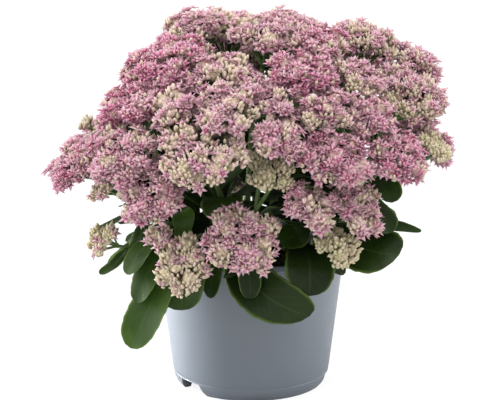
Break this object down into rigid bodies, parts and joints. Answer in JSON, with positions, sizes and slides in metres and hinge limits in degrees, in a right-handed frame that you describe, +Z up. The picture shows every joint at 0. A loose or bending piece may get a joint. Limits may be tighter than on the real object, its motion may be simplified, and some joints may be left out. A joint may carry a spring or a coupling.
{
  "type": "potted sedum autumn joy",
  "caption": "Stonecrop in full flower in a round tapering plastic pot: leafy stems that fork to domed heads of pink star florets and pale buds, in potting soil.",
  "frame": {"origin": "middle of the pot's central foot, on the surface that the pot stands on", "axes": "+Z up; -Y towards the side with the largest hanging leaves; +X to the right, seen from there"},
  "size_m": [0.3957, 0.3968, 0.3817],
  "materials": {
    "pot": "blue-grey moulded plastic, satin, with fine mould grain",
    "soil": "dark moist bark and peat compost, matt and crumbly",
    "foliage": "fleshy green leaf and stem, satin with a faint waxy bloom",
    "flowers_open": "soft matt petals, pale lilac pink with deeper pink hearts",
    "flowers_bud": "soft matt buds, cream with a green cast"
  },
  "bodies": {
    "root": {"pot": "pot", "soil": "soil", "stem_01": "foliage", "stem_02": "foliage", "stem_03": "foliage", "stem_04": "foliage", "stem_05": "foliage", "stem_06": "foliage", "stem_07": "foliage", "stem_08": "foliage", "stem_09": "foliage", "stem_10": "foliage", "stem_11": "foliage", "stem_12": "foliage", "stem_13": "foliage", "stem_14": "foliage", "head_01": "flowers_open", "head_02": "flowers_bud", "head_03": "flowers_bud", "head_04": "flowers_open", "head_05": "flowers_open", "head_06": "flowers_bud", "head_07": "flowers_open", "head_08": "flowers_open", "head_09": "flowers_open", "head_10": "flowers_open", "head_11": "flowers_open", "head_12": "flowers_open", "head_13": "flowers_open", "head_14": "flowers_open", "head_15": "flowers_open", "head_16": "flowers_open", "head_17": "flowers_open", "head_18": "flowers_open", "head_19": "flowers_open", "head_20": "flowers_open", "head_21": "flowers_bud", "head_22": "flowers_open", "head_23": "flowers_open", "head_24": "flowers_open", "head_25": "flowers_bud", "head_26": "flowers_open", "head_27": "flowers_open", "head_28": "flowers_open", "head_29": "flowers_open", "head_30": "flowers_open", "head_31": "flowers_open", "head_32": "flowers_open", "head_33": "flowers_bud", "head_34": "flowers_open", "head_35": "flowers_open", "head_36": "flowers_open", "head_37": "flowers_bud", "head_38": "flowers_open", "head_39": "flowers_open", "head_40": "flowers_open", "head_41": "flowers_open", "head_42": "flowers_open", "head_43": "flowers_bud", "head_44": "flowers_open"}
  },
  "joints": []
}
